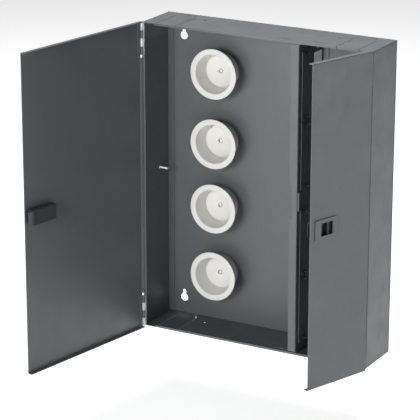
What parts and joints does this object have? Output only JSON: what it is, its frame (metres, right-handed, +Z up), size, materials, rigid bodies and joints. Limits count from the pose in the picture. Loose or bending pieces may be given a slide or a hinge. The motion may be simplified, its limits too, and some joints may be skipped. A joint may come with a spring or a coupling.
{
  "type": "fiber termination box",
  "caption": "Wall-mounted painted steel box that ends fiber cables, with winding spools, an adapter partition and latched doors.",
  "frame": {"origin": "centre of the rear face of the back panel", "axes": "+X to the right seen from the front, +Y into the wall, +Z up"},
  "size_m": [0.5334, 0.4186, 0.604],
  "materials": {
    "grey_paint": "satin powder coat",
    "bright_zinc": "zinc plated",
    "white_plastic": "moulded",
    "black_plastic": "moulded",
    "black_nylon": "moulded"
  },
  "bodies": {
    "cabinet": {"back_panel": "grey_paint", "blank_plate_1": "grey_paint", "blank_plate_2": "grey_paint", "blank_plate_3": "grey_paint", "blank_plate_4": "grey_paint", "bottom_panel": "grey_paint", "grommet_1": "black_nylon", "grommet_2": "black_nylon", "grommet_3": "black_nylon", "grommet_4": "black_nylon", "grommet_5": "black_nylon", "grommet_6": "black_nylon", "grommet_7": "black_nylon", "grommet_8": "black_nylon", "ground_stud": "bright_zinc", "hinge_frame_leaf_left_bottom": "bright_zinc", "hinge_frame_leaf_left_top": "bright_zinc", "hinge_frame_leaf_right_bottom": "grey_paint", "hinge_frame_leaf_right_top": "grey_paint", "hinge_pin_left_bottom": "bright_zinc", "hinge_pin_left_top": "bright_zinc", "hinge_pin_right_bottom": "bright_zinc", "hinge_pin_right_top": "bright_zinc", "left_wall": "grey_paint", "partition": "grey_paint", "right_wall": "grey_paint", "spool_1": "white_plastic", "spool_2": "white_plastic", "spool_3": "white_plastic", "spool_4": "white_plastic", "spool_screw_1": "bright_zinc", "spool_screw_2": "bright_zinc", "spool_screw_3": "bright_zinc", "spool_screw_4": "bright_zinc", "top_panel": "grey_paint"},
    "door_left": {"hinge_door_leaf_left_bottom": "grey_paint", "hinge_door_leaf_left_top": "grey_paint", "left_door": "grey_paint", "left_latch_bezel": "grey_paint", "left_latch_housing": "black_plastic", "left_latch_spring": "bright_zinc"},
    "door_right": {"hinge_door_leaf_right_bottom": "grey_paint", "hinge_door_leaf_right_top": "grey_paint", "right_door": "grey_paint", "right_latch_bezel": "grey_paint", "right_latch_housing": "black_plastic", "right_latch_spring": "bright_zinc"},
    "latch_left": {"left_latch_bolt": "black_plastic"},
    "latch_right": {"right_latch_bolt": "black_plastic"},
    "pin_1": {"plunger_1": "black_nylon"},
    "pin_2": {"plunger_2": "black_nylon"},
    "pin_3": {"plunger_3": "black_nylon"},
    "pin_4": {"plunger_4": "black_nylon"},
    "pin_5": {"plunger_5": "black_nylon"},
    "pin_6": {"plunger_6": "black_nylon"},
    "pin_7": {"plunger_7": "black_nylon"},
    "pin_8": {"plunger_8": "black_nylon"}
  },
  "joints": [
    {"name": "left_door_hinge", "type": "hinge", "parent": "cabinet", "child": "door_left", "pos_m": [-0.235, -0.1023, 0], "axis": [0, 0, 1], "range_deg": [-69.8, 100.2]},
    {"name": "right_door_hinge", "type": "hinge", "parent": "cabinet", "child": "door_right", "pos_m": [0.235, -0.1023, 0], "axis": [0, 0, 1], "range_deg": [-70.4, 99.6]},
    {"name": "left_latch_slide", "type": "slide", "parent": "door_left", "child": "latch_left", "axis": [0.1771, 0.9842, 0], "range_m": [0, 0.007], "stiffness_N_per_m": 250, "springref_m": -0.004, "deforming": ["left_latch_spring"]},
    {"name": "right_latch_slide", "type": "slide", "parent": "door_right", "child": "latch_right", "axis": [0.3355, 0.9421, 0], "range_m": [0, 0.007], "stiffness_N_per_m": 250, "springref_m": -0.004, "deforming": ["right_latch_spring"]},
    {"name": "plunger_1_pull", "type": "slide", "parent": "cabinet", "child": "pin_1", "axis": [1, 0, 0], "range_m": [0, 0.003]},
    {"name": "plunger_2_pull", "type": "slide", "parent": "cabinet", "child": "pin_2", "axis": [1, 0, 0], "range_m": [0, 0.003]},
    {"name": "plunger_3_pull", "type": "slide", "parent": "cabinet", "child": "pin_3", "axis": [1, 0, 0], "range_m": [0, 0.003]},
    {"name": "plunger_4_pull", "type": "slide", "parent": "cabinet", "child": "pin_4", "axis": [1, 0, 0], "range_m": [0, 0.003]},
    {"name": "plunger_5_pull", "type": "slide", "parent": "cabinet", "child": "pin_5", "axis": [1, 0, 0], "range_m": [0, 0.003]},
    {"name": "plunger_6_pull", "type": "slide", "parent": "cabinet", "child": "pin_6", "axis": [1, 0, 0], "range_m": [0, 0.003]},
    {"name": "plunger_7_pull", "type": "slide", "parent": "cabinet", "child": "pin_7", "axis": [1, 0, 0], "range_m": [0, 0.003]},
    {"name": "plunger_8_pull", "type": "slide", "parent": "cabinet", "child": "pin_8", "axis": [1, 0, 0], "range_m": [0, 0.003]}
  ]
}
